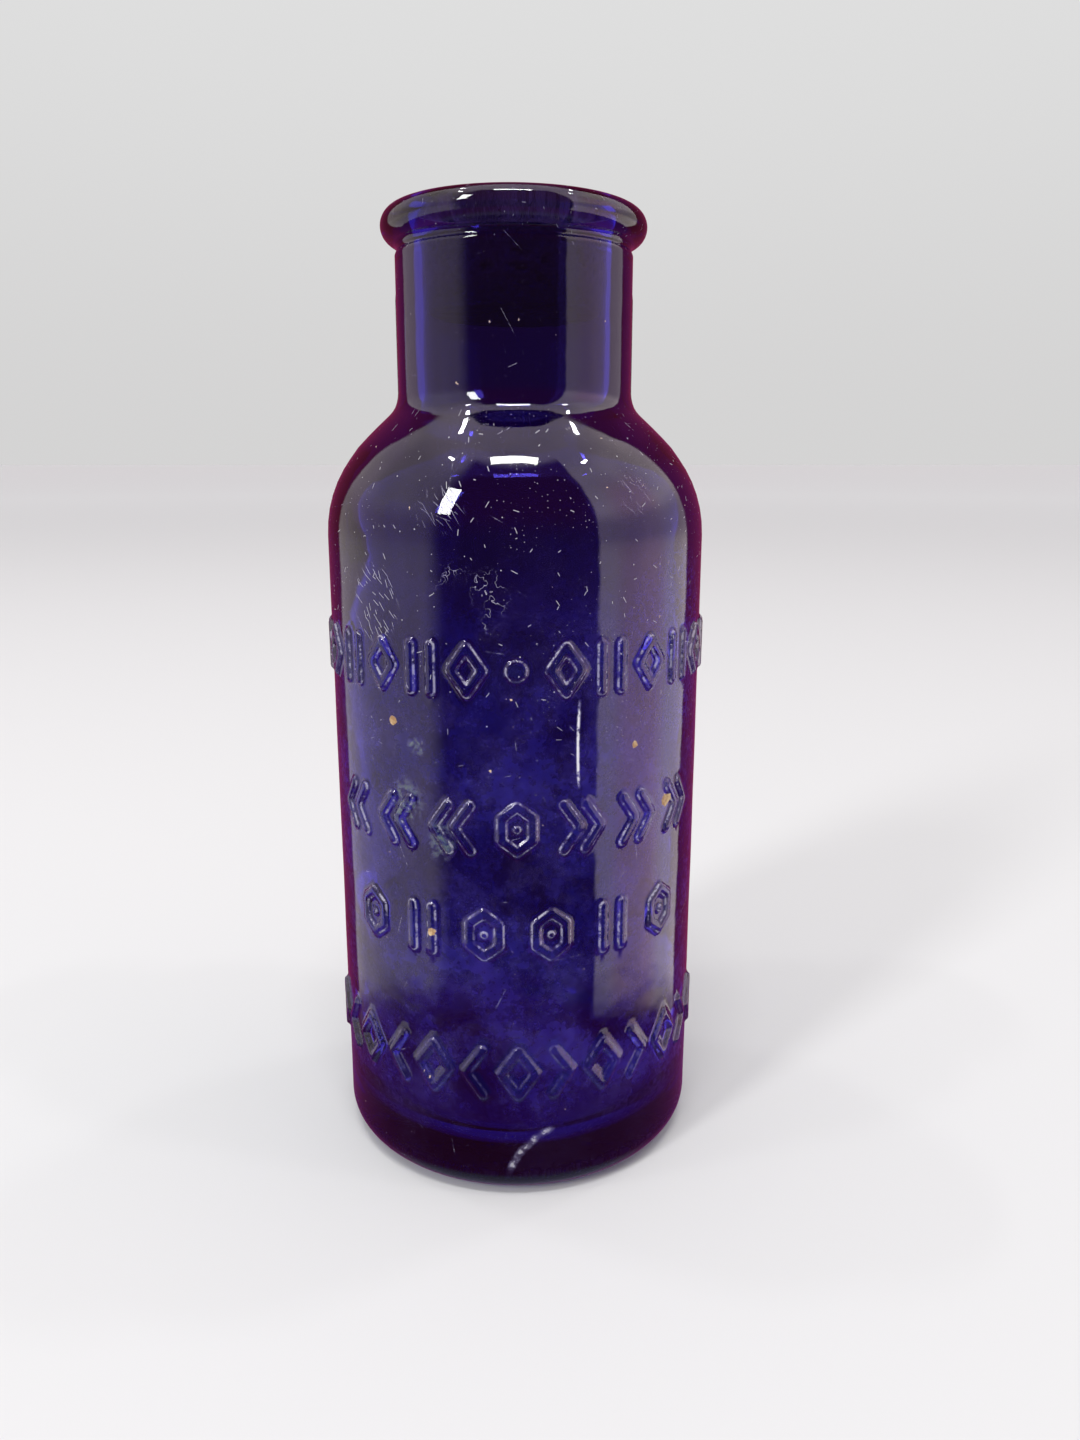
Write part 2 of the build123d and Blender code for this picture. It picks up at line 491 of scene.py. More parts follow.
def shape_inside(angle, radius, height, rng):
    """The inside's radius and height: a wall of uneven thickness up to the neck, and a high floor."""
    ripple = waves(angle, height, rng, INNER_WAVE_SHORTEST, INNER_WAVE_TURNS)
    drift = WALL_DRIFT * np.cos(angle - DRIFT_TOWARDS)
    where = (1 - smooth_step(height, *NECK_ROOT)) * smooth_step(radius, *FLOOR_EDGE)
    shaped = radius + (INNER_WAVE * ripple + drift) * where
    crown = FLOOR_CROWN * (1 - smooth_step(shaped, 0.0, FLOOR_CROWN_RADIUS))
    return shaped, height + crown * (height < FLOOR_CROWN_TOP)


def make_bottle():
    """The moulded glass as one closed mesh, with its ornament, seams and unevenness."""
    rng = np.random.default_rng(SEED)
    outer = spread(outer_path(), outer_spacing)
    inner = spread(inner_path(), given_spacing)[1:]
    outer = outer[outer[:, 0] > POLE_RADIUS]
    inner = inner[inner[:, 0] > POLE_RADIUS]
    angle, radius, height = sweep(np.concatenate([outer, inner]), column_angles())
    inside = np.zeros_like(angle)
    inside[len(outer):] = 1.0

    outer_radius, edge = shape_outside(angle, radius, height, rng)
    inner_radius, inner_height = shape_inside(angle, radius, height, rng)
    radius = np.where(inside, inner_radius, outer_radius)
    height = np.where(inside, inner_height, height)
    dip = LIP_DIP * (1 + np.cos(angle - LIP_DIP_TOWARDS)) / 2
    height = height - dip * smooth_step(height, LIP_DIP_FOOT, HEIGHT)

    piece = build_mesh("bottle_glass", ring_points(angle, radius, height))
    mark_points(piece, "inside", inside, 0.0, 1.0)
    mark_points(piece, "ornament_edge", edge, EDGE_REACH, EDGE_REACH)
    return piece


# ------ the cork


def mixed_lumps(points, sizes, rng):
    """Smooth random values made of lumps of several (size, share) kinds."""
    return sum(lumps(points, size, rng) * share for size, share in sizes)


def cork_outwards(points, low, high, wide):
    """The way out at each point of the cork: up or down on its ends, sideways on its side."""
    x, y, z = points.T
    level = (z - (low + high) / 2) / (high - low) * 2
    nothing = np.zeros_like(x)
    on_end = [nothing, nothing, np.sign(level)]
    on_side = [x / wide, y / wide, nothing]
    return np.where(abs(level) > CORK_END, on_end, on_side).T


def make_cork():
    """The tapered cork, pitted all over, with its sharp edges worn off."""
    rng = np.random.default_rng(SEED + 1)
    low, high = CORK_LOW.z / MM, CORK_HIGH.z / MM
    wide = CORK_HIGH.x / MM + CORK_SPARE
    narrow = wide - CORK_TAPER
    corners = [(0.0, low, 0), (narrow, low, CORK_EDGE), (wide, high, CORK_TOP_EDGE), (0.0, high, 0)]
    profile = spread(rounded_path(corners, CORK_STEP), given_spacing)
    profile = profile[profile[:, 0] > CORK_STEP]
    angles = np.linspace(0, 2 * pi, ceil(2 * pi * wide / CORK_STEP), endpoint=False)
    rings = ring_points(*sweep(profile, angles))
    points = rings.reshape(-1, 3)
    pits = smooth_step(mixed_lumps(points * BARK_STRETCH, PIT_SIZES, rng), *PIT_RANGE)
    depth = PIT_DEPTH * pits + ROUGH_DEPTH * mixed_lumps(points, ROUGH_SIZES, rng)
    points = points - cork_outwards(points, low, high, wide) * depth[:, None]
    piece = build_mesh("cork", points.reshape(rings.shape))
    mark_points(piece, "pits", pits, 0.0, 0.0)
    return piece


# ------ shader helpers


class Graph:
    """Adds nodes to one material's or world's node tree. Values may be numbers or sockets."""

    def __init__(self, owner):
        owner.use_nodes = True
        self.nodes, self.links = owner.node_tree.nodes, owner.node_tree.links

    def put(self, socket, value):
        """Sets a socket to a number or colour, or links another socket to it."""
        if isinstance(value, bpy.types.NodeSocket):
            self.links.new(value, socket)
        else:
            socket.default_value = value

    def fill(self, node, inputs):
        """Sets a node's inputs by their names, which have _ for a space."""
        for name, value in inputs.items():
            self.put(node.inputs[name.replace("_", " ")], value)
        return node

    def add(self, kind, **inputs):
        return self.fill(self.nodes.new("ShaderNode" + kind), inputs)

    def surface(self, **inputs):
        return self.fill(self.nodes["Principled BSDF"], inputs)

    def math(self, operation, *values):
        """One of the Math node's operations."""
        node = self.nodes.new("ShaderNodeMath")
        node.operation = operation
        for socket, value in zip(node.inputs, values):
            self.put(socket, value)
        return node.outputs[0]

    def chain(self, operation, values):
        """An operation on two values, carried on through all of them."""
        result = values[0]
        for value in values[1:]:
            result = self.math(operation, result, value)
        return result

    def plus(self, *values):
        return self.chain("ADD", values)

    def times(self, *values):
        return self.chain("MULTIPLY", values)

    def highest(self, *values):
        return self.chain("MAXIMUM", values)

    def weighted(self, values, shares):
        """The sum of the values, each times its share."""
        return self.plus(*[self.times(value, share) for value, share in zip(values, shares)])

    def minus(self, first, second):
        return self.math("SUBTRACT", first, second)

    def magnitude(self, value):
        """The value without its sign."""
        return self.math("ABSOLUTE", value)

    def squared(self, value):
        return self.math("POWER", value, 2.0)

    def length(self, x, y):
        return self.math("SQRT", self.plus(self.times(x, x), self.times(y, y)))

    def invert(self, value):
        return self.minus(1.0, value)

    def step(self, value, low, high):
        """0 at low, 1 at high, smooth between; low may be the greater of the two."""
        node = self.nodes.new("ShaderNodeMapRange")
        node.interpolation_type = "SMOOTHSTEP"
        self.put(node.inputs["Value"], value)
        if low > high:
            low, high = high, low
            node.inputs["To Min"].default_value = 1.0
            node.inputs["To Max"].default_value = 0.0
        node.inputs["From Min"].default_value = low
        node.inputs["From Max"].default_value = high
        return node.outputs["Result"]

    def mix(self, factor, first, second):
        """Colour from first at 0 to second at 1."""
        node = self.nodes.new("ShaderNodeMix")
        node.data_type = "RGBA"
        colours = [socket for socket in node.inputs if socket.type == "RGBA"]
        self.put(node.inputs["Factor"], factor)
        self.put(colours[0], first)
        self.put(colours[1], second)
        return next(socket for socket in node.outputs if socket.type == "RGBA")

    def split(self, vector):
        """The three parts of a vector or colour."""
        return tuple(self.add("SeparateXYZ", Vector=vector).outputs)

    def join(self, x, y, z):
        return self.add("CombineXYZ", X=x, Y=y, Z=z).outputs[0]

    def scaled(self, vector, factor):
        node = self.nodes.new("ShaderNodeVectorMath")
        node.operation = "SCALE"
        self.put(node.inputs[0], vector)
        self.put(node.inputs["Scale"], factor)
        return node.outputs[0]

    def noise(self, vector, scale, detail, roughness=0.5):
        node = self.add("TexNoise", Vector=vector, Scale=scale, Detail=detail, Roughness=roughness)
        return node.outputs["Fac"]

    def cells(self, vector, scale, flat):
        """Voronoi cells' distance, random colour and centre. Flat ones ignore Z."""
        node = self.add("TexVoronoi", Vector=vector, Scale=scale)
        node.voronoi_dimensions = "2D" if flat else "3D"
        return node.outputs["Distance"], node.outputs["Color"], node.outputs["Position"]

    def bump(self, height, depth):
        """A bumped normal, for relief of a depth in millimetres."""
        return self.add("Bump", Height=height, Distance=depth * MM).outputs[0]

    def marked(self, name):
        """The numbers that mark_points() stored on the mesh."""
        node = self.nodes.new("ShaderNodeAttribute")
        node.attribute_name = name
        return node.outputs["Fac"]


def colour(red, green, blue):
    return (red, green, blue, 1.0)


# ------ the glass's material

GLASS_TINT = colour(0.20, 0.18, 0.58)
GLASS_TINT_VIOLET = colour(0.24, 0.17, 0.54)
# Painted highlight: a lighter tint that the raised strokes get in place of the light they catch
GLASS_TINT_STROKE_HIGHLIGHT = colour(0.24, 0.34, 0.86)
GLASS_BODY_COLOUR = colour(0.0, 0.0, 0.76)
GLASS_BODY_DENSITY = 240.0
GLASS_IOR = 1.52
BLOOM_COLOUR = colour(0.26, 0.22, 0.80)
HAZE_COLOUR = colour(0.66, 0.62, 1.0)
# Pale colour of the scratches and wear, and also of the painted highlights along the strokes' rims
SCRATCH_AND_HIGHLIGHT_COLOUR = colour(0.80, 0.80, 0.84)
CRUST_COLOUR = colour(0.36, 0.20, 0.08)
CRUST_PALE = colour(0.68, 0.50, 0.28)
STAIN_COLOUR = colour(0.30, 0.42, 0.34)

# Noises over the glass: scale for each millimetre, detail and roughness
MOTTLE = (0.15, 4.0, 0.68)
GRAIN = (0.9, 3.0, 0.66)
CONTOUR = (0.6, 2.0, 0.6)
PATCHES = (0.06, 2.0, 0.6)
PEEL = (0.28, 1.0, 0.4)
PEEL_DEPTH = 0.03

# How much of the light each mark stops, and how much roughness it adds
FILM_OPAQUE = 0.85
FILM_ROUGH = 0.35
# The wear's two values also apply to the painted rim highlights, which share its mask
WEAR_AND_HIGHLIGHT_OPAQUE = 0.50
WEAR_AND_HIGHLIGHT_ROUGH = 0.4
BLOOM_OPAQUE = 0.055
STAIN_OPAQUE = 0.30
STREAK_OPAQUE = 0.8
CRUMBS_ROUGH = 0.6
CLEAN_ROUGH = 0.02
MOTTLE_ROUGH = 0.05

# Pairs from here on are the values, of a noise or a height, where a mark is absent and full.
# How worn the outside is: the low body, the shoulder, the neck and the lip
LOW_WEAR = 0.15
NECK_WEAR = 0.1
LIP_WEAR = 0.7
WEAR_RISE = (50.0, 74.0)
WEAR_FALL = (104.0, 100.0)
WEAR_LIP = (118.0, 122.0)

# Scratches: cell, half length, half width, share of cells that hold one, and seed
FINE_SCRATCHES = (1.0, 1.6, 0.06, 0.5, 2.2)
LONG_SCRATCHES = (2.2, 3.4, 0.06, 0.8, 41.0)
NICKS = (1.7, 0.45, 0.055, 0.16, 3.1)
STRAY_SCRATCHES = (8.0, 2.2, 0.055, 0.40, 11.3)
STRAY_GRAIN = (0.40, 0.60)
STRAY_WEAR = 0.7
SEED_SKEW = 1.7
SHORTEST_SCRATCH = 0.25
SCRATCH_CORE = 0.3
SCRATCH_TAPER = 0.5
SCRATCH_SLOPE = -52.0
FINE_SPREAD = 50.0
LONG_SPREAD = 30.0

# Dots: cell, radius, share of cells that hold one, and seed
LARGE_DOTS = (2.1, 0.09, 0.22, 4.0)
SMALL_DOTS = (0.75, 0.05, 0.4, 9.0)
SMALL_DOT_MOTTLE = (0.46, 0.62)
SMALLEST_DOT = 0.3
DOT_CORE = 0.5

# Marks on the wall: degrees round from the front and height, then for a patch its half width
# and half height, for a smear its slope, half length, half width and bend, and for a crumb
# its radius. Each scratch bundle is a patch and a strength.
SCRATCH_BUNDLES = (
    ((-43.0, 79.0, 5.0, 6.0), 1.0),
    ((-21.0, 90.5, 4.0, 3.5), 0.45),
    ((36.0, 92.0, 3.0, 3.0), 0.5),
)
SQUIGGLES = (-12.0, 80.5, 5.5, 5.5)
STAINS = ((-29.0, 61.8, 1.8, 1.4), (-33.0, 54.5, 3.2, 4.0), (-22.0, 50.0, 2.4, 3.4))
FROST = (56.0, 73.0, 13.0, 15.0)
SCUFF = (2.1, 7.8, 48.0, 5.0, 0.8, 1.2)
STREAK = (17.0, 62.5, 90.0, 6.0, 0.32, 0.2)
CRUMBS = ((-37.0, 64.7, 0.93), (35.5, 61.5, 0.63), (49.5, 52.9, 1.2), (-25.1, 37.8, 0.75))

BUNDLE_EDGE = (0.0, 0.6)
SQUIGGLE_EDGE = (0.0, 0.7)
SQUIGGLE_CONTOUR = (0.014, 0.0)
SQUIGGLE_MOTTLE = (0.47, 0.53)
STAIN_GRAIN = (0.40, 0.60)
FROST_EDGE = (0.0, 0.5)
FROST_CONTOUR = (0.07, 0.01)
FROST_WEIGHT = 0.8
SCUFF_GRAIN = (0.40, 0.62)
SCUFF_LEAST = 0.3
SCUFF_WEAR = 0.8
STREAK_GRAIN = (0.42, 0.55)
STREAK_LEAST = 0.4
SMEAR_TAPER = 0.6
CRUMB_TEAR = 2.0
CRUMB_EDGE = (1.45, 1.55)
CRUST_GRAIN = (0.40, 0.62)

# Painted highlights along the strokes' rims, a little within their edges, and wear on the resting ring
RIM_INSET = 0.12
RIM_WIDTH = (0.19, 0.05)
RIM_GRAIN = (0.42, 0.60)
RIM_LEAST = 0.25
RIM_RISE = (16.0, 36.0)
RIM_LOW_ROW = 0.35
RIM_HIGHLIGHT = 0.46
RING_HEIGHT = (0.5, 0.05)
RING_GRAIN = (0.35, 0.60)
RING_WEAR = 0.7

# The film: where it thins out, and the shares of its even, mottled and patchy parts
FILM_TOP = (94.0, 58.0)
FILM_FOOT = (5.0, 18.0)
FILM_FOOT_LEAST = 0.3
FILM_EVEN = 0.04
FILM_MOTTLE = (0.46, 0.56)
FILM_PATCHES = (0.44, 0.60)
FILM_MOTTLE_SHARE = 0.5
FILM_PATCH_SHARE = 0.46
FILM_GRAIN = (0.35, 0.65)
FILM_GRAIN_LEAST = 0.55
FILM_GRAIN_SHARE = 0.5
FILM_WEIGHT = 0.88

VIOLET_MOTTLE = (0.3, 0.7)
ROUGH_MOTTLE = (0.45, 0.75)
RAISED_EDGE = (-0.2, -0.5)


class Wall:
    """Marks laid out by distance round the glass (around) and height (up), and noises by place,
    all in millimetres. The glass's outside and inside are one mesh."""

    def __init__(self, graph):
        self.graph = graph
        x, y, z = graph.split(graph.add("TexCoord").outputs["Object"])
        turn = graph.math("ARCTAN2", x, graph.times(y, -1.0))
        self.around = graph.times(turn, BODY_RADIUS)
        self.up = graph.times(z, 1 / MM)
        self.place = graph.scaled(graph.join(x, y, z), 1 / MM)
        self.inside = graph.marked("inside")
        self.outside = graph.invert(self.inside)
        self.stroke_edge = graph.marked("ornament_edge")
        self.mottle = graph.noise(self.place, *MOTTLE)
        self.grain = graph.noise(self.place, *GRAIN)
        self.contour = graph.magnitude(graph.plus(graph.noise(self.place, *CONTOUR), -0.5))

    def turned(self, angle, degrees_round, height):
        """Distances along and across a direction, measured from a place on the wall."""
        graph = self.graph
        away = graph.plus(self.around, -radians(degrees_round) * BODY_RADIUS)
        above = graph.plus(self.up, -height)
        along = graph.plus(graph.times(away, cos(angle)), graph.times(above, sin(angle)))
        across = graph.plus(graph.times(above, cos(angle)), graph.times(away, -sin(angle)))
        return along, across

    def patch(self, degrees_round, height, half_width, half_height):
        """A soft oval, 1 in its middle and 0 at its edge."""
        graph = self.graph
        away, above = self.turned(0.0, degrees_round, height)
        away = graph.squared(graph.times(away, 1 / half_width))
        above = graph.squared(graph.times(above, 1 / half_height))
        return graph.step(graph.plus(away, above), 1.0, 0.0)

    def smear(self, degrees_round, height, slope, half_length, half_width, bend):
        """A thin curved mark along a slope in degrees."""
        graph = self.graph
        along, across = self.turned(radians(slope), degrees_round, height)
        bow = graph.times(graph.squared(graph.times(along, 1 / half_length)), bend)
        across = graph.magnitude(graph.plus(across, bow))
        ends = graph.step(graph.magnitude(along), half_length, half_length * SMEAR_TAPER)
        return graph.times(graph.step(across, half_width, 0.0), ends)

    def scratches(self, cell, half_length, half_width, share, seed, slope=0.0, spread=180.0):
        """Short straight scratches, at most one in each cell, turned at random about a slope."""
        graph = self.graph
        x = graph.plus(graph.times(self.around, 1 / cell), seed)
        y = graph.plus(graph.times(self.up, 1 / cell), seed * SEED_SKEW)
        _, random, centre = graph.cells(graph.join(x, y, 0.0), 1.0, flat=True)
        chance, way, length = graph.split(random)
        centre_x, centre_y, _ = graph.split(centre)
        away = graph.times(graph.minus(x, centre_x), cell)
        above = graph.times(graph.minus(y, centre_y), cell)
        turn = graph.plus(graph.times(way, radians(spread)), radians(slope - spread / 2))
        cosine, sine = graph.math("COSINE", turn), graph.math("SINE", turn)
        along = graph.plus(graph.times(away, cosine), graph.times(above, sine))
        across = graph.minus(graph.times(above, cosine), graph.times(away, sine))
        reach = graph.math("DIVIDE", graph.magnitude(along), graph.plus(length, SHORTEST_SCRATCH))
        line = graph.step(graph.magnitude(across), half_width, half_width * SCRATCH_CORE)
        line = graph.times(line, graph.step(reach, half_length, half_length * SCRATCH_TAPER))
        return graph.times(line, graph.math("GREATER_THAN", share, chance))

    def dots(self, cell, radius, share, seed):
        """Small round dots, at most one in each cell."""
        graph = self.graph
        place = graph.join(graph.plus(self.around, seed), self.up, 0.0)
        distance, random, _ = graph.cells(place, 1 / cell, flat=True)
        chance, width, _ = graph.split(random)
        gap = graph.math("DIVIDE", distance, graph.plus(width, SMALLEST_DOT))
        dot = graph.step(gap, radius / cell, radius / cell * DOT_CORE)
        return graph.times(dot, graph.math("GREATER_THAN", share, chance))

    def zone(self, place, edge):
        """A patch with a flat middle and a softer or harder edge."""
        return self.graph.step(self.patch(*place), *edge)

    def broken(self, mask, grain, least=0.0):
        """A mask broken up by the grain, down to its least where the grain is absent."""
        graph = self.graph
        return graph.times(mask, graph.plus(least, graph.step(self.grain, *grain)))


def handling(wall):
    """How worn the outside is at each height: most on the shoulder and the lip."""
    graph = wall.graph
    body = graph.plus(LOW_WEAR, graph.step(wall.up, *WEAR_RISE))
    body = graph.times(body, graph.plus(NECK_WEAR, graph.step(wall.up, *WEAR_FALL)))
    return graph.highest(body, graph.times(graph.step(wall.up, *WEAR_LIP), LIP_WEAR))


def scratch_mask(wall, worn):
    """Nicks all over, a few stray long scratches, and bundles of them at the shoulder."""
    graph = wall.graph
    lines = graph.highest(
        wall.scratches(*FINE_SCRATCHES, SCRATCH_SLOPE, FINE_SPREAD),
        wall.scratches(*LONG_SCRATCHES, SCRATCH_SLOPE, LONG_SPREAD),
    )
    zones = [graph.times(wall.zone(place, BUNDLE_EDGE), strength) for place, strength in SCRATCH_BUNDLES]
    return graph.highest(
        graph.times(wall.scratches(*NICKS), worn),
        graph.times(wall.broken(wall.scratches(*STRAY_SCRATCHES), STRAY_GRAIN), STRAY_WEAR),
        graph.times(graph.highest(*zones), lines),
    )


def squiggle_mask(wall):
    """A patch of fine curly marks."""
    graph = wall.graph
    curls = graph.step(wall.contour, *SQUIGGLE_CONTOUR)
    gaps = graph.step(wall.mottle, *SQUIGGLE_MOTTLE)
    return graph.times(curls, wall.zone(SQUIGGLES, SQUIGGLE_EDGE), gaps)


def dot_mask(wall, worn):
    """Specks where the glass is handled, the smallest ones in clusters."""
    graph = wall.graph
    clusters = graph.step(wall.mottle, *SMALL_DOT_MOTTLE)
    return graph.highest(
        graph.times(wall.dots(*LARGE_DOTS), worn),
        graph.times(wall.dots(*SMALL_DOTS), clusters, worn),
    )


def rim_highlight_mask(wall):
    """Painted highlights along the rims of the ornament's strokes, fainter on the lowest row."""
    graph = wall.graph
    rim = graph.step(graph.magnitude(graph.plus(wall.stroke_edge, RIM_INSET)), *RIM_WIDTH)
    by_height = graph.plus(RIM_LOW_ROW, graph.step(wall.up, *RIM_RISE))
    return graph.times(wall.broken(rim, RIM_GRAIN, RIM_LEAST), by_height, RIM_HIGHLIGHT)


def wear_and_rim_highlight_mask(wall):
    """All the scratches, specks and the rubbed resting ring on the outside, together with painted
    highlights along the strokes' rims.
    """
    graph = wall.graph
    worn = handling(wall)
    scuff = wall.broken(wall.smear(*SCUFF), SCUFF_GRAIN, SCUFF_LEAST)
    resting_ring = wall.broken(graph.step(wall.up, *RING_HEIGHT), RING_GRAIN)
    wear_and_highlights = graph.highest(
        scratch_mask(wall, worn),
        squiggle_mask(wall),
        dot_mask(wall, worn),
        graph.times(scuff, SCUFF_WEAR),
        graph.times(resting_ring, RING_WEAR),
        # Painted highlights along the strokes' rims, mixed in with the wear
        rim_highlight_mask(wall),
    )
    return graph.times(wear_and_highlights, wall.outside)


def crumb_mask(wall):
    """Crumbs of dried residue in the ornament's corners, with edges torn by the grain."""
    graph = wall.graph
    torn = graph.times(wall.grain, CRUMB_TEAR)
    crumbs = []
    for degrees_round, height, radius in CRUMBS:
        spot = wall.patch(degrees_round, height, radius, radius)
        crumbs.append(graph.step(graph.plus(spot, torn), *CRUMB_EDGE))
    return graph.times(graph.highest(*crumbs), wall.outside)


def film_mask(wall):
    """A mottled film, thickest on the lower half, with a frosted growth at the right."""
    graph = wall.graph
    above_floor = graph.plus(FILM_FOOT_LEAST, graph.step(wall.up, *FILM_FOOT))
    zone = graph.times(graph.step(wall.up, *FILM_TOP), above_floor)
    mottled = graph.step(wall.mottle, *FILM_MOTTLE)
    patches = graph.step(graph.noise(wall.place, *PATCHES), *FILM_PATCHES)
    mottled = graph.times(mottled, FILM_MOTTLE_SHARE)
    blotches = graph.plus(FILM_EVEN, mottled, graph.times(patches, FILM_PATCH_SHARE))
    fine = graph.times(graph.step(wall.grain, *FILM_GRAIN), FILM_GRAIN_SHARE)
    film = graph.times(zone, blotches, graph.plus(FILM_GRAIN_LEAST, fine), FILM_WEIGHT)
    ferns = graph.step(wall.contour, *FROST_CONTOUR)
    frost = graph.times(wall.zone(FROST, FROST_EDGE), ferns, FROST_WEIGHT)
    return graph.highest(film, frost)


def stain_mask(wall):
    """Faint oily stains on the outside."""
    graph = wall.graph
    stains = graph.highest(*[wall.patch(*place) for place in STAINS])
    return graph.times(wall.broken(stains, STAIN_GRAIN), wall.outside)


def streak_mask(wall):
    """One pale upright streak on the outside."""
    streak = wall.broken(wall.smear(*STREAK), STREAK_GRAIN, STREAK_LEAST)
    return wall.graph.times(streak, wall.outside)


def glass_tint_and_stroke_highlight(wall):
    """The clean glass: cobalt to violet in slow patches, with a painted highlight that makes the raised
    strokes lighter.
    """
    graph = wall.graph
    tint = graph.mix(graph.step(wall.mottle, *VIOLET_MOTTLE), GLASS_TINT, GLASS_TINT_VIOLET)
    # Painted highlight: the raised strokes' tint is lightened
    raised = graph.times(graph.step(wall.stroke_edge, *RAISED_EDGE), wall.outside)
    return graph.mix(raised, tint, GLASS_TINT_STROKE_HIGHLIGHT)


def make_glass():
    """Cobalt glass, worn outside and with a film of old contents inside, and with painted highlights on
    the ornament's strokes and rims.
    """
    material = bpy.data.materials.new("cobalt_glass")
    graph = Graph(material)
    wall = Wall(graph)
    wear_and_highlights, crumbs = wear_and_rim_highlight_mask(wall), crumb_mask(wall)
    stains, streak = stain_mask(wall), streak_mask(wall)
    both_sides = film_mask(wall)
    film = graph.times(both_sides, wall.inside)
    bloom = graph.times(both_sides, wall.outside)

    surface = graph.mix(film, glass_tint_and_stroke_highlight(wall), HAZE_COLOUR)
    surface = graph.mix(bloom, surface, BLOOM_COLOUR)
    surface = graph.mix(stains, surface, STAIN_COLOUR)
    # Pale scratches and wear, and painted highlights along the strokes' rims
    surface = graph.mix(graph.highest(wear_and_highlights, streak), surface, SCRATCH_AND_HIGHLIGHT_COLOUR)
    crust = graph.mix(graph.step(wall.grain, *CRUST_GRAIN), CRUST_COLOUR, CRUST_PALE)
    surface = graph.mix(crumbs, surface, crust)

    opaque = graph.highest(
        graph.times(film, FILM_OPAQUE),
        graph.times(bloom, BLOOM_OPAQUE),
        graph.times(wear_and_highlights, WEAR_AND_HIGHLIGHT_OPAQUE),
        graph.times(stains, STAIN_OPAQUE),
        graph.times(streak, STREAK_OPAQUE),
        crumbs,
    )
    rough = graph.plus(
        CLEAN_ROUGH,
        graph.times(graph.step(wall.mottle, *ROUGH_MOTTLE), MOTTLE_ROUGH),
        graph.times(film, FILM_ROUGH),
        graph.times(wear_and_highlights, WEAR_AND_HIGHLIGHT_ROUGH),
        graph.times(crumbs, CRUMBS_ROUGH),
    )
    graph.surface(
        Base_Color=surface,
        Transmission_Weight=graph.invert(opaque),
        Roughness=rough,
        Normal=graph.bump(graph.noise(wall.place, *PEEL), PEEL_DEPTH),
        IOR=GLASS_IOR,
    )
    volume = graph.add("VolumeAbsorption", Color=GLASS_BODY_COLOUR, Density=GLASS_BODY_DENSITY)
    graph.put(graph.nodes["Material Output"].inputs["Volume"], volume.outputs[0])
    return material


# ------ the cork's material

CORK_TAN = colour(0.52, 0.33, 0.17)
CORK_PALE = colour(0.68, 0.47, 0.27)
CORK_DARK = colour(0.13, 0.06, 0.03)
CORK_STAIN = colour(0.20, 0.13, 0.10)
CORK_STREAKS = (0.9, 4.0, 0.65)
CORK_GRAIN = (3.5, 3.0, 0.7)
CORK_CLOUDS = (0.25, 2.0)
CORK_CELL_SCALE = 1.6
BARK_SQUEEZE = 0.3
TONE_SHARES = (0.6, 0.3, 0.25)
PALE_TONE = (0.40, 0.80)
PORE_STREAKS = (0.60, 0.72)
PORE_WEIGHT = 0.55
STAIN_REACH = (8.0, 4.0)
STAIN_UNEVEN = 5.0
STAIN_WEIGHT = 0.8
GRIME_DEPTH = 1.5
GRIME_RING = (8.5, 12.0)
GRIME_GRAIN = (0.3, 0.6)
GRIME_WEIGHT = 0.55
RELIEF_SHARES = (0.5, 0.3, -0.6)
CORK_BUMP_DEPTH = 0.12
CORK_ROUGH = 0.72
CORK_GRAIN_ROUGH = 0.2
CORK_SHINE = 0.3


def make_cork_material():
    """Old natural cork: speckled tan bark with dark pores, stained at its lower end."""
    material = bpy.data.materials.new("cork")
    graph = Graph(material)
    low, high = CORK_LOW.z / MM, CORK_HIGH.z / MM
    place = graph.scaled(graph.add("TexCoord").outputs["Object"], 1 / MM)
    x, y, z = graph.split(place)
    bark = graph.join(graph.times(x, BARK_SQUEEZE), y, z)
    pits = graph.marked("pits")
    chance = graph.split(graph.cells(place, CORK_CELL_SCALE, flat=False)[1])[0]
    streaks = graph.noise(bark, *CORK_STREAKS)
    grain = graph.noise(place, *CORK_GRAIN)

    tone = graph.weighted((streaks, grain, chance), TONE_SHARES)
    surface = graph.mix(graph.step(tone, *PALE_TONE), CORK_TAN, CORK_PALE)
    pores = graph.highest(pits, graph.times(graph.step(streaks, *PORE_STREAKS), PORE_WEIGHT))
    surface = graph.mix(pores, surface, CORK_DARK)

    uneven = graph.plus(z, graph.times(graph.noise(place, *CORK_CLOUDS), STAIN_UNEVEN))
    stain = graph.step(uneven, low + STAIN_REACH[0], low + STAIN_REACH[1])
    surface = graph.mix(graph.times(stain, STAIN_WEIGHT), surface, CORK_STAIN)
    on_rim = graph.step(graph.length(x, y), *GRIME_RING)
    on_rim = graph.times(on_rim, graph.step(z, high - GRIME_DEPTH, high))
    grime = graph.times(on_rim, graph.step(grain, *GRIME_GRAIN), GRIME_WEIGHT)
    surface = graph.mix(grime, surface, CORK_STAIN)

    relief = graph.weighted((grain, chance, pits), RELIEF_SHARES)
    graph.surface(
        Base_Color=surface,
        Roughness=graph.plus(CORK_ROUGH, graph.times(grain, CORK_GRAIN_ROUGH)),
        Normal=graph.bump(relief, CORK_BUMP_DEPTH),
        Specular_IOR_Level=CORK_SHINE,
    )
    return material


def place_piece(piece, material, body, node):
    """Gives a piece its material, and puts it on its body in the place of a CAD node."""
    piece.data.materials.append(material)
    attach(piece, body)
    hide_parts(node)


place_piece(make_bottle(), make_glass(), "bottle", "glass_bottle")
place_piece(make_cork(), make_cork_material(), "cork", "cork_stopper")


# ------ stage

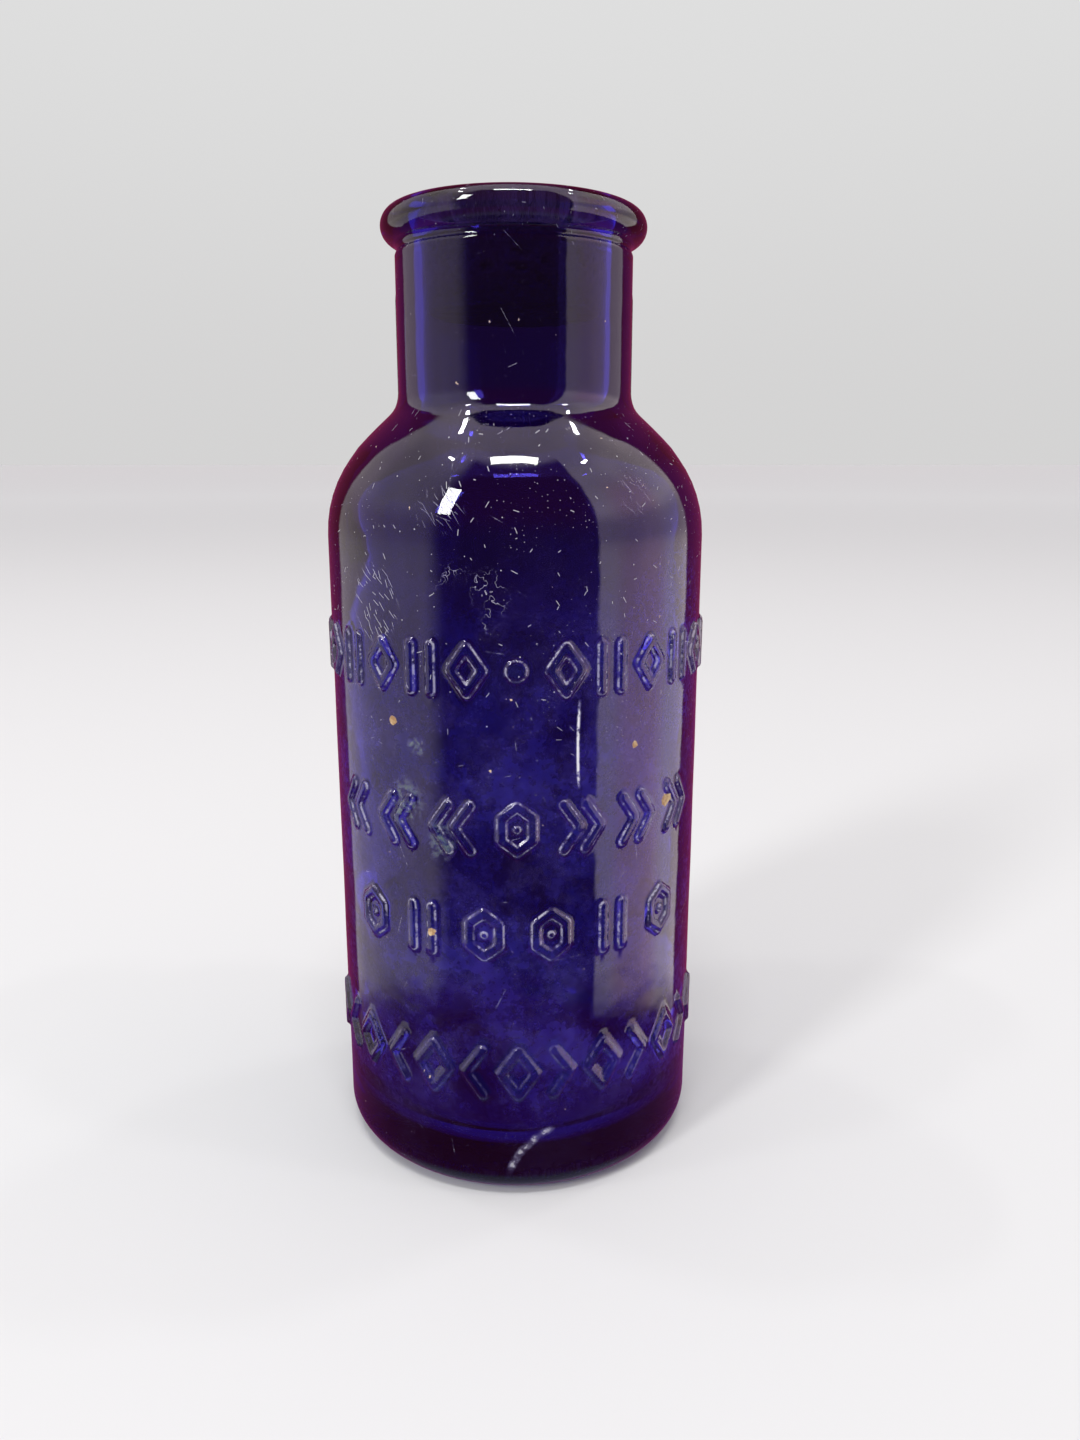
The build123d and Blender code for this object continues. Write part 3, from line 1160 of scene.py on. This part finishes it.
# The studio, by direction from the bottle: degrees round from the camera's side (+ to its
# right) and degrees above the horizon. Pairs are where something starts and ends.
FRONT_GAP = (-50.0, 50.0)
SIDE_WALLS = (-132.0, 126.0)
LEFT_TO_RIGHT = (-20.0, 20.0)
WARM_START = (56.0, 72.0)
WARM_END = (108.0, 90.0)
WARM_TOP = (50.0, 30.0)
BAND_START = (-6.0, 4.0)
BAND_END = (24.0, 11.0)
BAND_WEIGHT = 0.75
WALL_CEILING_BLEND = (50.0, 68.0)
CEILING_EDGE = (62.0, 70.0)
GAP_TOP = (69.0, 63.0)
GAP_SHADE_RISE = (0.0, 25.0)
WALLS_FOOT = (-26.5, -29.5)
UNDER_EDGE = (-46.0, -66.0)
BACKDROP_RISE = (0.0, 24.0)
EDGE = 1.5
SOFT_EDGE = 8.0
CLOUDS = (1.8, 2.0)
CLOUD_LOW = 0.6
CLOUD_RANGE = 0.8

LEFT_WALL = colour(1.05, 0.90, 0.92)
RIGHT_WALL = colour(1.95, 1.65, 1.65)
WARM_WALL = colour(2.0, 1.35, 1.45)
MID_WALL = colour(0.74, 0.58, 0.64)
CEILING = colour(1.45, 1.22, 1.42)
FRONT_SHADE = colour(0.09, 0.05, 0.11)
FRONT_SHADE_HIGH = colour(0.15, 0.035, 0.075)
LOW_SHADE = colour(0.20, 0.035, 0.16)
UNDER_SHADE = colour(0.24, 0.22, 0.34)
BACK_SHADE = colour(0.28, 0.03, 0.10)
HORIZON = colour(0.66, 0.655, 0.655)
BACKDROP = colour(0.74, 0.74, 0.74)
SOFT_FILL = colour(0.58, 0.58, 0.59)

# Lamps: degrees round, degrees up, width and height in metres, and brightness.
LAMP_DISTANCE = 1.6
LAMP_AIM = 0.7
LAMPS = (
    (-2.0, 70.0, 0.60, 0.15, 30.0),
    (-44.0, 32.0, 0.22, 0.60, 22.0),
    (-71.0, 60.0, 0.11, 0.04, 90.0),
    (72.0, 57.0, 0.11, 0.04, 90.0),
    (-117.0, 68.0, 0.11, 0.04, 90.0),
    (118.0, 65.0, 0.11, 0.04, 90.0),
)

FLOOR_HALF = 14.0
FLOOR_FADE = (0.2, 3.0)
FLOOR_ROUGH = 0.9
FLOOR_SHINE = 0.1
FLOOR_NEAR = colour(0.73, 0.73, 0.73)
FLOOR_FAR = colour(0.93, 0.97, 0.96)

CAMERA_LENS = 26.75
CAMERA_PLACE = (0.0, -0.1492, 0.0963)
CAMERA_TURN = (radians(76.2), 0.0, radians(-1.29))
CAMERA_CLIP = 0.01


def side_walls(graph, across, up):
    """The two tall pale walls, duller in a low band and warmer at the right, under a pale ceiling."""
    walls = graph.mix(graph.step(across, *LEFT_TO_RIGHT), LEFT_WALL, RIGHT_WALL)
    warm = graph.times(
        graph.step(across, *WARM_START),
        graph.step(across, *WARM_END),
        graph.step(up, *WARM_TOP),
    )
    walls = graph.mix(warm, walls, WARM_WALL)
    band = graph.times(graph.step(up, *BAND_START), graph.step(up, *BAND_END), BAND_WEIGHT)
    walls = graph.mix(band, walls, MID_WALL)
    return graph.mix(graph.step(up, *WALL_CEILING_BLEND), walls, CEILING)


def front_gap(graph, across, up):
    """Mask of the dark gap round the camera, soft at its left side and firm at its right."""
    left, right = FRONT_GAP
    return graph.times(
        graph.step(across, left - SOFT_EDGE, left + SOFT_EDGE),
        graph.step(across, right + EDGE, right - EDGE),
        graph.step(up, *GAP_TOP),
    )


def behind(graph, across, up):
    """Mask of the sector behind the bottle, below the ceiling."""
    left, right = SIDE_WALLS
    walls = graph.times(
        graph.step(across, left - EDGE, left + EDGE),
        graph.step(across, right + EDGE, right - EDGE),
    )
    return graph.times(graph.invert(walls), graph.invert(graph.step(up, *CEILING_EDGE)))


def make_world():
    """The room that the glass reflects. The camera sees a plain backdrop instead, and a soft
    fill lights matt surfaces."""
    world = bpy.data.worlds.new("studio")
    bpy.context.scene.world = world
    graph = Graph(world)
    way = graph.add("TexCoord").outputs["Generated"]
    x, y, z = graph.split(way)
    across = graph.times(graph.math("ARCTAN2", x, graph.times(y, -1.0)), 180 / pi)
    up = graph.times(graph.math("ARCSINE", z), 180 / pi)

    cloud = graph.plus(CLOUD_LOW, graph.times(graph.noise(way, *CLOUDS), CLOUD_RANGE))
    room = graph.scaled(side_walls(graph, across, up), cloud)
    room = graph.mix(behind(graph, across, up), room, BACK_SHADE)
    gap_shade = graph.mix(graph.step(up, *GAP_SHADE_RISE), FRONT_SHADE, FRONT_SHADE_HIGH)
    room = graph.mix(front_gap(graph, across, up), room, gap_shade)
    room = graph.mix(graph.step(up, *WALLS_FOOT), room, LOW_SHADE)
    room = graph.mix(graph.step(up, *UNDER_EDGE), room, UNDER_SHADE)

    ray = graph.add("LightPath").outputs
    room = graph.mix(ray["Is Diffuse Ray"], room, SOFT_FILL)
    backdrop = graph.mix(graph.step(up, *BACKDROP_RISE), HORIZON, BACKDROP)
    seen = graph.mix(ray["Is Camera Ray"], room, backdrop)
    graph.put(graph.nodes["Background"].inputs["Color"], seen)


def make_lamps():
    """Area lamps round the bottle, each facing a point near its shoulder."""
    aim = Vector((0.0, 0.0, HEIGHT * MM * LAMP_AIM))
    for index, (across, up, width, height, brightness) in enumerate(LAMPS):
        light = bpy.data.lights.new(f"lamp_{index}", "AREA")
        light.shape = "RECTANGLE"
        light.size, light.size_y = width, height
        light.energy = brightness * width * height * pi
        lamp = new_object(light.name, light)
        turn, rise = radians(across), radians(up)
        way = Vector((cos(rise) * sin(turn), -cos(rise) * cos(turn), sin(rise)))
        lamp.location = aim + way * LAMP_DISTANCE
        lamp.rotation_euler = way.to_track_quat("Z", "Y").to_euler()


def make_floor():
    """A wide pale floor that grows lighter far from the lamps, to meet the backdrop evenly.

    Reflected and refracted rays don't see it, so it doesn't wash the glass out."""
    mesh = bpy.data.meshes.new("floor")
    half = FLOOR_HALF
    corners = [(-half, -half, 0), (half, -half, 0), (half, half, 0), (-half, half, 0)]
    mesh.from_pydata(corners, [], [(0, 1, 2, 3)])
    floor = new_object("floor", mesh)
    floor.visible_glossy = False
    floor.visible_transmission = False

    material = bpy.data.materials.new("pale_floor")
    graph = Graph(material)
    x, y, _ = graph.split(graph.add("TexCoord").outputs["Object"])
    far = graph.step(graph.length(x, y), *FLOOR_FADE)
    tone = graph.mix(far, FLOOR_NEAR, FLOOR_FAR)
    graph.surface(Base_Color=tone, Roughness=FLOOR_ROUGH, Specular_IOR_Level=FLOOR_SHINE)
    mesh.materials.append(material)


def make_camera():
    """A wide lens close to the bottle, a little above it and looking down."""
    data = bpy.data.cameras.new("camera")
    data.lens = CAMERA_LENS
    data.clip_start = CAMERA_CLIP
    camera = new_object("camera", data)
    camera.location = CAMERA_PLACE
    camera.rotation_euler = CAMERA_TURN
    bpy.context.scene.camera = camera


make_floor()
make_world()
make_lamps()
make_camera()

scene = bpy.context.scene
scene.view_settings.view_transform = "Standard"
scene.cycles.max_bounces = 16
scene.cycles.transmission_bounces = 16
scene.cycles.glossy_bounces = 10
scene.cycles.sample_clamp_indirect = 6.0
